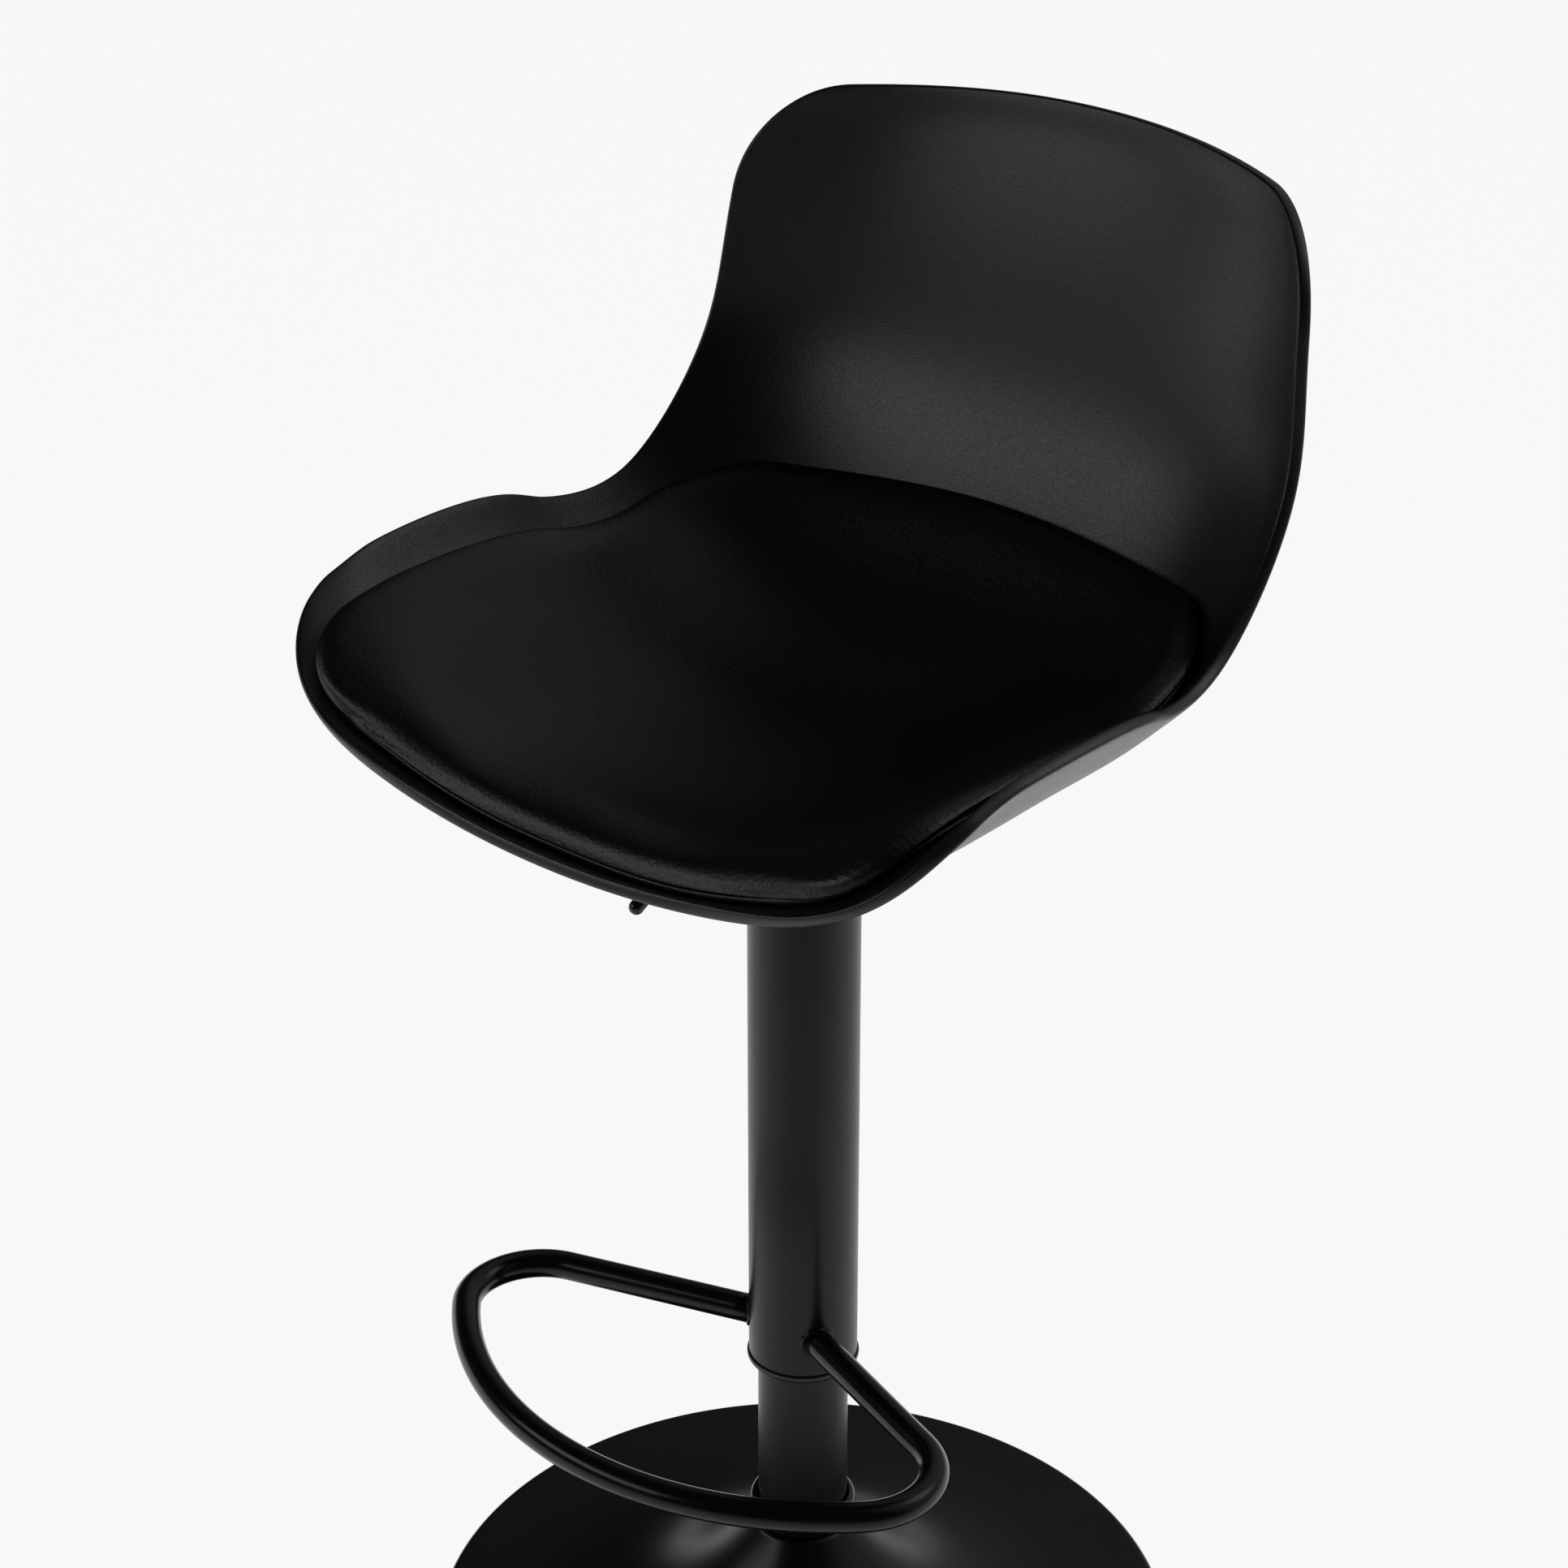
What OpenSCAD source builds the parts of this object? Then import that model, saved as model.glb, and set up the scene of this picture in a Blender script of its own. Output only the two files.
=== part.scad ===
// Bar stool with a bucket seat, a gas lift, a footrest and a trumpet base.
// +Z is up, the column stands on the Z axis, the floor is z = 0 and the front faces -Y.
// The seat is drawn at its lowest height.

/* [Base] */
// Radius of the trumpet base
base_r = 210; // [190:1:225]
// Height of the trumpet's neck above the floor
neck_top = 84; // [70:1:95]
// How sharply the trumpet rises towards its neck
flare_power = 3.6; // [2.5:0.1:5]
// Thickness of the steel weight plate
weight_t = 4; // [3:0.5:4]

/* [Column] */
// Radius of the fixed stand tube
stand_r = 25; // [24:0.5:25]
// Height of the stand tube's top above the floor
stand_top = 440; // [420:1:450]
// Radius of the sleeve that carries the footrest
sleeve_r = 30; // [30:0.5:32]
// Height of the sleeve's lower end
sleeve_bottom = 194; // [185:1:200]
// Radius of the gas cylinder
cylinder_r = 14; // [13.5:0.5:14]

/* [Footrest] */
// Radius of the footrest tube
foot_r = 8; // [7:0.5:10]
// Height of the footrest's centreline
foot_z = 216; // [210:1:230]
// Radius of the long front bend
foot_front_r = 200; // [185:1:205]
// How far the front bend reaches forward
foot_reach = 180; // [170:1:195]
// Radius of the two corner bends
foot_corner_r = 40; // [25:1:45]
// Backward slope of the two arms, in degrees
foot_arm_angle = 19; // [15:0.5:24]

/* [Lever] */
// Radius of the lever rod
lever_r = 4; // [3.5:0.5:4]
// Direction of the lever, in degrees from the front
lever_yaw = -13; // [-30:1:30]
// Distance from the column axis to the lever's bend
lever_bend_at = 78; // [70:1:85]
// Downward angle of the lever's handle end
lever_droop = 40; // [20:1:45]

/* [Seat] */
// Wall thickness of the moulded shell
shell_wall = 4.5; // [4:0.5:5]
// How far the rolled lip stands out past the shell's edge
lip_out = 1.5; // [1:0.5:4]
// Extra thickness of each face of the shell towards its rim
rim_bead = 1; // [0:0.25:1.5]
// Thickness of the foam pad at its middle
pad_t = 24; // [18:1:28]
// Thickness of the foam pad at its edge
pad_edge_t = 6; // [4:0.5:8]

/* [Hidden] */
$fn = 72;

run_gap = 0.05;            // radial clearance of every running fit
ring_h = 4.4;              // rubber edge ring
weight_bottom = ring_h;
weight_top = weight_bottom + weight_t;
cover_wall = 1.5;
cover_edge_h = 10;         // top of the cover's turned-down edge
cover_edge_z = 3;
neck_r = stand_r + 2.5;
hub_wall = 6;
hub_flange_r = 46;
hub_flange_h = 5;
hub_top = 60;
hub_floor_h = 3;           // ledge inside the hub that the stand tube stands on
hub_bolt_circle_r = 38;
hub_bolt_r = 3;
rod_hole_r = 16;           // hole through the weight plate and the hub's floor
tube_wall = 1.6;
tube_floor_z = 20;         // plate that closes the stand tube
tube_floor_h = 4;
collar_h = 13;
collar_r = 29.7;

rod_r = 5;
rod_end = 12;
race_h = 2.5;
race_r = 13;
ball_r = 2;
ball_count = 12;
ball_circle_r = 9.5;
shoulder_r = 9;
race_z = tube_floor_z + tube_floor_h;
ball_z = race_z + race_h + ball_r;
upper_race_z = ball_z + ball_r;
shoulder_z = upper_race_z + race_h;
shoulder_h = 6;
bumper_z = shoulder_z + shoulder_h;

cylinder_bottom = 68;
cylinder_wall = 1.7;
bore_r = cylinder_r - cylinder_wall;
cone_bottom = 483;
cone_top = 511;
cone_top_r = cylinder_r - 1.1;
plug_bottom = 484;
pin_r = 4;
pin_top = 517.6;
pin_bottom = 495;
pin_well = 489;
rod_guide_h = 20;
rod_guide_z = cylinder_bottom + 2;
piston_top = 477;
piston_h = 12;

sleeve_wall = 1.5;
sleeve_top = 479;
cap_h = cone_bottom - sleeve_top;
guide_ring_flange_h = 3.5;
guide_ring_lip_h = 3;

plate_z = 531;             // underside of the seat plate
plate_t = 2.5;
washer_h = 1.5;
plate_half = 90;
plate_corner_r = 16;
plate_y = -10;             // centre of the four seat bolts
bolt_x = 75;
bolt_y = 75;
socket_r = 24;
socket_bore_r = 16;        // room above the cone for the lever and the release pin
seat_bolt_r = 3;
lever_z = 522;             // height of the lever's pivot
pivot_at = 38;             // distance from the column axis to the pivot
lever_inner = 5;           // how far the lever reaches past the axis
lever_tip_drop = 22;
pivot_r = 2;
cheek_t = 2.5;
cheek_gap = 6;

// ---- Base ----

// A point on the trumpet's outer face: run goes from 0 at the edge to 1 at the neck.
function trumpet(run) = [
    base_r - run * (base_r - neck_r),
    cover_edge_h + (neck_top - cover_edge_h) * pow(run, flare_power)
];
trumpet_steps = 24;

module ring(z, h, outer_r, inner_r) {
    translate([0, 0, z])
        difference() {
            cylinder(h = h, r = outer_r);
            translate([0, 0, -1])
                cylinder(h = h + 2, r = inner_r);
        }
}

module around(count, radius) {
    for (i = [0:count - 1])
        rotate([0, 0, (i + 0.5) * 360 / count])
            translate([radius, 0, 0])
                children();
}

module edge_ring() {
    color([0.07, 0.07, 0.07])
        ring(0, ring_h, base_r - cover_wall - 0.2, base_r - 24);
}

module weight_plate() {
    color([0.32, 0.32, 0.33])
        difference() {
            ring(weight_bottom, weight_t, base_r - 5, rod_hole_r);
            around(4, hub_bolt_circle_r)
                translate([0, 0, weight_bottom - 1])
                    cylinder(h = weight_t + 2, r = hub_bolt_r + 0.2);
        }
}

module base_hub() {
    color([0.2, 0.2, 0.21])
        difference() {
            union() {
                translate([0, 0, weight_top])
                    cylinder(h = hub_flange_h, r = hub_flange_r);
                translate([0, 0, weight_top])
                    cylinder(h = hub_top - weight_top, r = stand_r + hub_wall);
            }
            translate([0, 0, weight_top - 1])
                cylinder(h = 10, r = rod_hole_r);
            translate([0, 0, weight_top + hub_floor_h])
                cylinder(h = hub_top, r = stand_r);
            around(4, hub_bolt_circle_r)
                translate([0, 0, weight_top - 1])
                    cylinder(h = hub_flange_h + 2, r = hub_bolt_r);
        }
}

module hub_bolts() {
    color([0.55, 0.55, 0.57])
        around(4, hub_bolt_circle_r) {
            translate([0, 0, weight_bottom])
                cylinder(h = weight_t + hub_flange_h + 2, r = hub_bolt_r);
            translate([0, 0, weight_bottom - 3])
                cylinder(h = 3, r = 2 * hub_bolt_r);
        }
}

module base_cover() {
    outer = [for (i = [0:trumpet_steps]) trumpet(i / trumpet_steps)];
    inner = [for (i = [trumpet_steps:-1:0]) trumpet(i / trumpet_steps) - [0, cover_wall]];
    color([0.12, 0.115, 0.11])
        rotate_extrude()
            polygon(concat(
                [[base_r - cover_wall, cover_edge_z], [base_r, cover_edge_z]],
                outer,
                [[neck_r - cover_wall, neck_top], [neck_r - cover_wall, neck_top - 6]],
                [for (p = inner) if (p[0] > neck_r + 2 && p[0] < base_r - cover_wall) p],
                [[base_r - cover_wall, cover_edge_h - cover_wall]]
            ));
}

module trim_collar() {
    edge = (collar_r - stand_r) / 2 - 0.05;
    color([0.05, 0.05, 0.05])
        translate([0, 0, neck_top])
            rotate_extrude()
                union() {
                    translate([stand_r, 0])
                        square([collar_r - stand_r - edge, collar_h]);
                    translate([stand_r, edge])
                        square([collar_r - stand_r, collar_h - 2 * edge]);
                    for (z = [edge, collar_h - edge])
                        translate([collar_r - edge, z])
                            circle(r = edge);
                }
}

module stand_tube() {
    color([0.13, 0.125, 0.12])
        difference() {
            translate([0, 0, weight_top + hub_floor_h])
                cylinder(h = stand_top - weight_top - hub_floor_h, r = stand_r);
            translate([0, 0, tube_floor_z + tube_floor_h])
                cylinder(h = stand_top, r = stand_r - tube_wall);
            translate([0, 0, weight_top])
                cylinder(h = tube_floor_z - weight_top, r = stand_r - tube_wall);
            translate([0, 0, weight_top])
                cylinder(h = 40, r = rod_r + 0.3);
        }
}

module guide_bush() {
    bush_h = 50;
    color([0.85, 0.85, 0.82])
        difference() {
            union() {
                translate([0, 0, stand_top - bush_h])
                    cylinder(h = bush_h, r = stand_r - tube_wall);
                translate([0, 0, stand_top])
                    cylinder(h = 3, r = stand_r);
            }
            translate([0, 0, stand_top - bush_h - 1])
                cylinder(h = bush_h + 6, r = cylinder_r + run_gap);
        }
}

// ---- Thrust bearing and piston rod ----

module bearing_lower_race() {
    color([0.7, 0.7, 0.72])
        ring(race_z, race_h, race_r, rod_r + 0.5);
}

module bearing_upper_race() {
    color([0.7, 0.7, 0.72])
        ring(upper_race_z, race_h, race_r, rod_r);
}

module bearing_cage() {
    color([0.76, 0.6, 0.28])
        difference() {
            ring(ball_z - 0.6, 1.2, race_r, rod_r + 0.5);
            around(ball_count, ball_circle_r)
                translate([0, 0, ball_z - 2])
                    cylinder(h = 4, r = ball_r + run_gap);
        }
}

module bearing_balls() {
    color([0.8, 0.8, 0.82])
        around(ball_count, ball_circle_r)
            translate([0, 0, ball_z])
                sphere(r = ball_r - 0.02);
}

clip_z = tube_floor_z - 2;
clip_h = 1.6;

module retaining_clip() {
    color([0.6, 0.6, 0.62])
        difference() {
            ring(clip_z, clip_h, 8.5, rod_r - 1);
            translate([0, -1.5, clip_z - 1])
                cube([12, 3, clip_h + 2]);
        }
}

module piston_rod() {
    color([0.78, 0.78, 0.8])
        difference() {
            union() {
                translate([0, 0, rod_end])
                    cylinder(h = piston_top - rod_end, r = rod_r);
                translate([0, 0, shoulder_z])
                    cylinder(h = shoulder_h, r = shoulder_r);
            }
            ring(clip_z, clip_h, rod_r + 1, rod_r - 1);
        }
}

module piston() {
    color([0.62, 0.62, 0.64])
        ring(piston_top - piston_h, piston_h, bore_r - run_gap, rod_r);
}

module stop_bumper() {
    color([0.1, 0.1, 0.1])
        ring(bumper_z, cylinder_bottom - 0.3 - bumper_z, 12.5, rod_r);
}

// ---- Gas cylinder and sleeve ----

module gas_cylinder() {
    color([0.16, 0.16, 0.17])
        difference() {
            union() {
                translate([0, 0, cylinder_bottom])
                    cylinder(h = cone_bottom - cylinder_bottom, r = cylinder_r);
                translate([0, 0, cone_bottom])
                    cylinder(h = cone_top - cone_bottom, r1 = cylinder_r, r2 = cone_top_r);
            }
            translate([0, 0, cylinder_bottom + 2])
                cylinder(h = plug_bottom - cylinder_bottom - 2, r = bore_r);
            translate([0, 0, cylinder_bottom - 1])
                cylinder(h = 4, r = rod_r + 1);
            translate([0, 0, pin_well])
                cylinder(h = cone_top, r = pin_r + run_gap);
        }
}

module rod_guide() {
    color([0.3, 0.3, 0.32])
        ring(rod_guide_z, rod_guide_h, bore_r, rod_r + run_gap);
}

module sleeve() {
    color([0.14, 0.135, 0.125])
        ring(sleeve_bottom, sleeve_top - sleeve_bottom, sleeve_r, sleeve_r - sleeve_wall);
}

module sleeve_cap() {
    color([0.14, 0.135, 0.125])
        ring(sleeve_top, cap_h, sleeve_r, cylinder_r);
}

module sleeve_guide_ring() {
    spigot_h = 34;
    color([0.06, 0.06, 0.06])
        difference() {
            union() {
                translate([0, 0, sleeve_bottom - guide_ring_flange_h])
                    cylinder(h = guide_ring_flange_h, r = sleeve_r + 1);
                translate([0, 0, sleeve_bottom - guide_ring_flange_h - guide_ring_lip_h])
                    cylinder(h = guide_ring_lip_h, r = sleeve_r - 2.6);
                translate([0, 0, sleeve_bottom])
                    cylinder(h = spigot_h, r = sleeve_r - sleeve_wall);
            }
            translate([0, 0, sleeve_bottom - 20])
                cylinder(h = spigot_h + 40, r = stand_r + run_gap);
        }
}

// ---- Footrest: two arms, two corner bends and one long front bend ----

foot_centre = [0, foot_front_r - foot_reach];
arm_start = [24, -16];
arm_dir = [cos(foot_arm_angle), -sin(foot_arm_angle)];
arm_side = [-sin(foot_arm_angle), -cos(foot_arm_angle)];
corner_from = arm_start + foot_corner_r * arm_side - foot_centre;
corner_along = corner_from * arm_dir;
arm_length = -corner_along + sqrt(
    pow(corner_along, 2) - corner_from * corner_from + pow(foot_front_r - foot_corner_r, 2)
);
corner_centre = arm_start + arm_length * arm_dir + foot_corner_r * arm_side;
corner_out = corner_centre - foot_centre;
front_end_angle = atan2(corner_out[1], corner_out[0]);

module bend(centre, radius, start, sweep, tube_r) {
    translate([centre[0], centre[1], foot_z])
        rotate([0, 0, start])
            rotate_extrude(angle = sweep)
                translate([radius, 0])
                    circle(r = tube_r);
}

// The straight and long pieces run a little way into the corner bends, and are a hair thinner there.
weld_in = 1;
hair = 0.05;

module foot_half(tube_r) {
    translate([arm_start[0], arm_start[1], foot_z])
        rotate([0, 90, -foot_arm_angle])
            cylinder(h = arm_length + weld_in, r = tube_r - hair);
    bend(corner_centre, foot_corner_r, front_end_angle,
        90 - foot_arm_angle - front_end_angle, tube_r);
}

module foot_tube(tube_r) {
    foot_half(tube_r);
    mirror([1, 0, 0])
        foot_half(tube_r);
    overlap = weld_in / foot_front_r * 180 / PI;
    bend(foot_centre, foot_front_r, -180 - front_end_angle - overlap,
        2 * front_end_angle + 180 + 2 * overlap, tube_r - hair);
}

module footrest() {
    foot_wall = 1.5;
    color([0.13, 0.125, 0.12])
        difference() {
            foot_tube(foot_r);
            foot_tube(foot_r - foot_wall);
            translate([0, 0, foot_z - 20])
                cylinder(h = 40, r = sleeve_r);
        }
}

// ---- Seat mechanism ----

module at_lever() {
    rotate([0, 0, lever_yaw])
        children();
}

module taper_socket() {
    color([0.15, 0.15, 0.15])
        difference() {
            translate([0, 0, cone_bottom])
                cylinder(h = plate_z - cone_bottom, r = socket_r);
            translate([0, 0, cone_bottom])
                cylinder(h = cone_top - cone_bottom, r1 = cylinder_r, r2 = cone_top_r);
            translate([0, 0, cone_top])
                cylinder(h = plate_z, r = socket_bore_r);
            at_lever()
                translate([-lever_r - 2, -socket_r - 5, lever_z - 10])
                    cube([2 * lever_r + 4, socket_r + 5, 40]);
        }
}

module plate_outline() {
    inner = plate_half - plate_corner_r;
    square([2 * plate_half, 2 * inner], center = true);
    square([2 * inner, 2 * plate_half], center = true);
    for (x = [-inner, inner], y = [-inner, inner])
        translate([x, y])
            circle(r = plate_corner_r);
}

module at_bolts() {
    for (x = [-bolt_x, bolt_x], y = [-bolt_y, bolt_y])
        translate([x, plate_y + y, 0])
            children();
}

module seat_plate() {
    color([0.15, 0.15, 0.15])
        difference() {
            translate([0, plate_y, plate_z])
                linear_extrude(plate_t)
                    plate_outline();
            at_bolts()
                translate([0, 0, plate_z - 1])
                    cylinder(h = plate_t + 2, r = seat_bolt_r + 0.3);
        }
}

module lever_bracket() {
    color([0.15, 0.15, 0.15])
        at_lever()
            difference() {
                for (side = [-1, 1])
                    translate([side * (cheek_gap + cheek_t / 2), -pivot_at, (lever_z - 7 + plate_z) / 2])
                        cube([cheek_t, 18, plate_z - lever_z + 7], center = true);
                translate([-20, -pivot_at, lever_z])
                    rotate([0, 90, 0])
                        cylinder(h = 40, r = pivot_r);
            }
}

module lever_pin() {
    color([0.6, 0.6, 0.62])
        at_lever()
            translate([-cheek_gap - cheek_t - 1, -pivot_at, lever_z])
                rotate([0, 90, 0])
                    cylinder(h = 2 * (cheek_gap + cheek_t + 1), r = pivot_r);
}

bend_r = 16;
droop_length = lever_tip_drop / sin(lever_droop);
bend_setback = bend_r * tan(lever_droop / 2);

// The rod is drawn along its own line: straight, one bend, then the drooping end with a ball tip.
module lever() {
    color([0.05, 0.05, 0.05])
        at_lever()
            difference() {
                translate([0, 0, lever_z])
                    union() {
                        translate([0, lever_inner, 0])
                            rotate([90, 0, 0])
                                cylinder(h = lever_inner + lever_bend_at - bend_setback + weld_in,
                                    r = lever_r - hair);
                        translate([0, -lever_bend_at + bend_setback, -bend_r])
                            rotate([0, -90, 0])
                                rotate([0, 0, -lever_droop])
                                    rotate_extrude(angle = lever_droop)
                                        translate([bend_r, 0])
                                            circle(r = lever_r);
                        translate([0, -lever_bend_at, 0])
                            rotate([90 + lever_droop, 0, 0])
                                translate([0, 0, bend_setback - weld_in]) {
                                    cylinder(h = droop_length - bend_setback + weld_in, r = lever_r - hair);
                                    translate([0, 0, droop_length - bend_setback + weld_in])
                                        sphere(r = lever_r - hair);
                                }
                    }
                translate([-20, -pivot_at, lever_z])
                    rotate([0, 90, 0])
                        cylinder(h = 40, r = pivot_r + run_gap);
            }
}

module release_pin() {
    color([0.85, 0.3, 0.1])
        translate([0, 0, pin_bottom])
            cylinder(h = pin_top - pin_bottom, r = pin_r);
}

module seat_washers() {
    color([0.6, 0.6, 0.62])
        at_bolts()
            ring(plate_z - washer_h, washer_h, 8, seat_bolt_r + 0.1);
}

module seat_bolts() {
    head_h = 4;
    head_r = 5.6;          // half the width across the corners of a six-sided head
    color([0.3, 0.3, 0.31])
        at_bolts() {
            translate([0, 0, plate_z - washer_h - head_h])
                cylinder(h = head_h, r = head_r, $fn = 6);
            translate([0, 0, plate_z - washer_h])
                cylinder(h = 14, r = seat_bolt_r);
        }
}

// ---- Seat shell: a sheet swept over sections, trimmed to a rounded outline ----

// Sections along the centreline from the front edge to the top of the back:
// y, z, half width, rise of the sides off the centreline, fullness of the curve.
sections = [
    [-190, 568, 220, 35, 2],
    [-175, 563, 212, 80, 3],
    [-115, 540, 215, 102, 3],
    [-10, 550, 218, 100, 3],
    [35, 550, 210, 85, 3],
    [120, 580, 200, 65, 3.5],
    [185, 690, 195, 40, 3.5],
    [195, 760, 190, 50, 3],
    [220, 850, 180, 55, 2.5]
];
last = len(sections) - 1;
held = concat(
    [2 * sections[0] - sections[1]],
    sections,
    [2 * sections[last] - sections[last - 1]]
);
front_round = 100;          // how much narrower the front edge is than its section
front_round_reach = 0.16;
top_round = 45;
top_round_reach = 0.075;
front_crown = 0.005;      // how far the edges bow along the centreline
top_crown = 0.02;
round_power = 2.2;

// A smooth curve that passes near the sections, for a from 0 to 1.
function section(a) =
    let (s = min(max(a, 0), 1) * last, i = min(floor(s), last - 1), f = s - i)
    (pow(1 - f, 3) * held[i]
        + (3 * pow(f, 3) - 6 * pow(f, 2) + 4) * held[i + 1]
        + (-3 * pow(f, 3) + 3 * pow(f, 2) + 3 * f + 1) * held[i + 2]
        + pow(f, 3) * held[i + 3]) / 6;

function unit(v) = v / norm(v);

function heading(a) =
    let (d = section(min(a + 0.001, 1)) - section(max(a - 0.001, 0)))
    unit([d[0], d[1]]);

// The sheet's mid-surface at x from the centre plane and a along the centreline.
function sheet(x, a) =
    let (s = section(a), g = heading(a), rise = s[3] * pow(abs(x) / s[2], s[4]))
    [x, s[0] - g[1] * rise, s[1] + g[0] * rise];

function sheet_normal(x, a) =
    let (
        a0 = max(a - 0.002, 0), a1 = min(a + 0.002, 1),
        along = sheet(x, a1) - sheet(x, a0),
        across = sheet(x + 0.5, a) - sheet(x - 0.5, a)
    )
    unit(cross(across, along));

function lifted(x, a, height) = sheet(x, a) + height * sheet_normal(x, a);

function rounding(d, reach, size) =
    size * (1 - pow(max(1 - pow(max(1 - d / reach, 0), round_power), 0), 1 / round_power));

// Where the shell's grid line (t, u) lies on the sheet.
function shell_x(t, u) = u * (section(t)[2]
    - rounding(t, front_round_reach, front_round)
    - rounding(1 - t, top_round_reach, top_round));
function shell_a(t, u) =
    let (
        x = shell_x(t, u),
        front_half = section(0)[2] - front_round,
        top_half = section(1)[2] - top_round
    )
    t * (1 - top_crown * pow(x / top_half, 2)) + (1 - t) * front_crown * pow(x / front_half, 2);

// Half the wall's thickness: it swells into a soft bead close to the rim.
bead_width = 9;
sheet_length = 620;        // length of the sheet along its centreline
function half_wall(t, u) =
    let (away = min(t * sheet_length, (1 - t) * sheet_length, (1 - abs(u)) * section(t)[2]))
    shell_wall / 2 + rim_bead * exp(-pow(away / bead_width, 2));

// Grid lines crowd together towards both ends, where the outline turns.
function spread(k, count) = 0.5 * k / count + 0.25 * (1 - cos(180 * k / count));

function grid_quads(rows, cols, first, flip) = [
    for (i = [0:rows - 1], j = [0:cols - 1])
        let (
            a = first + i * (cols + 1) + j,
            b = a + 1,
            c = a + cols + 2,
            d = a + cols + 1
        )
        each flip ? [[a, d, c], [a, c, b]] : [[a, b, c], [a, c, d]]
];

// Grid places once round the outline: front edge, right side, top edge, left side.
function outline_places(rows, cols) = concat(
    [for (j = [0:cols - 1]) [0, j]],
    [for (i = [0:rows - 1]) [i, cols]],
    [for (j = [cols:-1:1]) [rows, j]],
    [for (i = [rows:-1:1]) [i, 0]]
);

function band(ring_a, ring_b) =
    let (n = len(ring_a))
    [for (k = [0:n - 1])
        let (m = (k + 1) % n)
        each [[ring_a[k], ring_a[m], ring_b[m]], [ring_a[k], ring_b[m], ring_b[k]]]];

shell_rows = 34;
shell_cols = 26;

module seat_shell() {
    rows = shell_rows;
    cols = shell_cols;
    half = half_wall(0, 0);
    spots = [for (i = [0:rows], j = [0:cols])
        let (t = spread(i, rows), u = 2 * spread(j, cols) - 1)
        [shell_x(t, u), shell_a(t, u), half_wall(t, u)]];
    inner = [for (s = spots) lifted(s[0], s[1], s[2])];
    outer = [for (s = spots) lifted(s[0], s[1], -s[2])];
    places = outline_places(rows, cols);
    count = len(places);
    edge = [for (p = places) p[0] * (cols + 1) + p[1]];
    mid = [for (e = edge) (inner[e] + outer[e]) / 2];
    // Rolled lip: three rings of points round the edge of the sheet.
    lip = [for (turn = [[0.75, 0.8], [1, 0], [0.75, -0.8]], k = [0:count - 1])
        let (
            along = unit(mid[(k + 1) % count] - mid[(k + count - 1) % count]),
            up = unit(inner[edge[k]] - outer[edge[k]]),
            out = unit(cross(along, up))
        )
        mid[k] + lip_out * turn[0] * out + half * turn[1] * up];
    size = len(spots);
    rings = concat(
        [edge],
        [for (r = [0:2]) [for (k = [0:count - 1]) 2 * size + r * count + k]],
        [[for (e = edge) e + size]]
    );
    color([0.11, 0.11, 0.12])
        polyhedron(
            points = concat(inner, outer, lip),
            faces = concat(
                grid_quads(rows, cols, 0, true),
                grid_quads(rows, cols, size, false),
                [for (r = [0:3]) each band(rings[r], rings[r + 1])]
            ),
            convexity = 8
        );
}

// ---- Pad: a foam pad and its backing board, both laid on the sheet ----

pad_front = 0.075;         // where the pad starts and ends along the centreline
pad_front_crown = 0.02;
pad_back = 0.7;
pad_back_crown = 0.02;
pad_margin = 14;
pad_front_round = 60;
pad_front_reach = 0.22;
pad_back_round = 45;
pad_back_reach = 0.1;

function pad_x(t, u) =
    u * (section((1 - t) * pad_front + t * pad_back)[2] - pad_margin
        - rounding(t, pad_front_reach, pad_front_round)
        - rounding(1 - t, pad_back_reach, pad_back_round));
function pad_a(t, u) =
    let (
        x = pad_x(t, u),
        front_half = section(pad_front)[2] - pad_margin - pad_front_round,
        back_half = section(pad_back)[2] - pad_margin - pad_back_round
    )
    (1 - t) * (pad_front - pad_front_crown * pow(x / front_half, 2))
        + t * (pad_back - pad_back_crown * pow(x / back_half, 2));

// A closed slab on the sheet. Its top rises from edge_high at the rim by crown at the middle.
module slab(rows, cols, inset, low, edge_high, crown) {
    spots = [for (i = [0:rows], j = [0:cols])
        let (t = spread(i, rows), u = 2 * spread(j, cols) - 1)
        [t, u, (1 - inset) * pad_x(t, u), pad_a(inset + (1 - 2 * inset) * t, u)]];
    bottom = [for (s = spots) lifted(s[2], s[3], low)];
    top = [for (s = spots)
        let (full = sqrt((1 - pow(s[1], 4)) * (1 - pow(2 * s[0] - 1, 4))))
        lifted(s[2], s[3], edge_high + crown * full)];
    size = len(spots);
    edge = [for (p = outline_places(rows, cols)) p[0] * (cols + 1) + p[1]];
    polyhedron(
        points = concat(top, bottom),
        faces = concat(
            grid_quads(rows, cols, 0, true),
            grid_quads(rows, cols, size, false),
            band(edge, [for (e = edge) e + size])
        ),
        convexity = 6
    );
}

board_low = shell_wall / 2 + 0.9;
board_t = 1.2;
board_inset = 0.03;
pad_low = board_low + board_t + 1.3;
pad_rows = 20;
pad_cols = 18;

module cushion_board() {
    color([0.5, 0.42, 0.3])
        slab(pad_rows, pad_cols, board_inset, board_low, board_low + board_t, 0);
}

module seat_cushion() {
    color([0.09, 0.085, 0.085])
        slab(pad_rows, pad_cols, 0, pad_low, pad_low + pad_edge_t, pad_t - pad_edge_t);
}

// Moulded bosses under the shell reach up into its wall.
function boss_top(x, y) =
    let (near = [for (k = [0:60])
        let (a = 0.1 + k * 0.01, p = sheet(x, a)) [abs(p[1] - y), p[2]]])
    [for (n = near) if (n[0] == min([for (m = near) m[0]])) n[1]][0] - 1.5;

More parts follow.
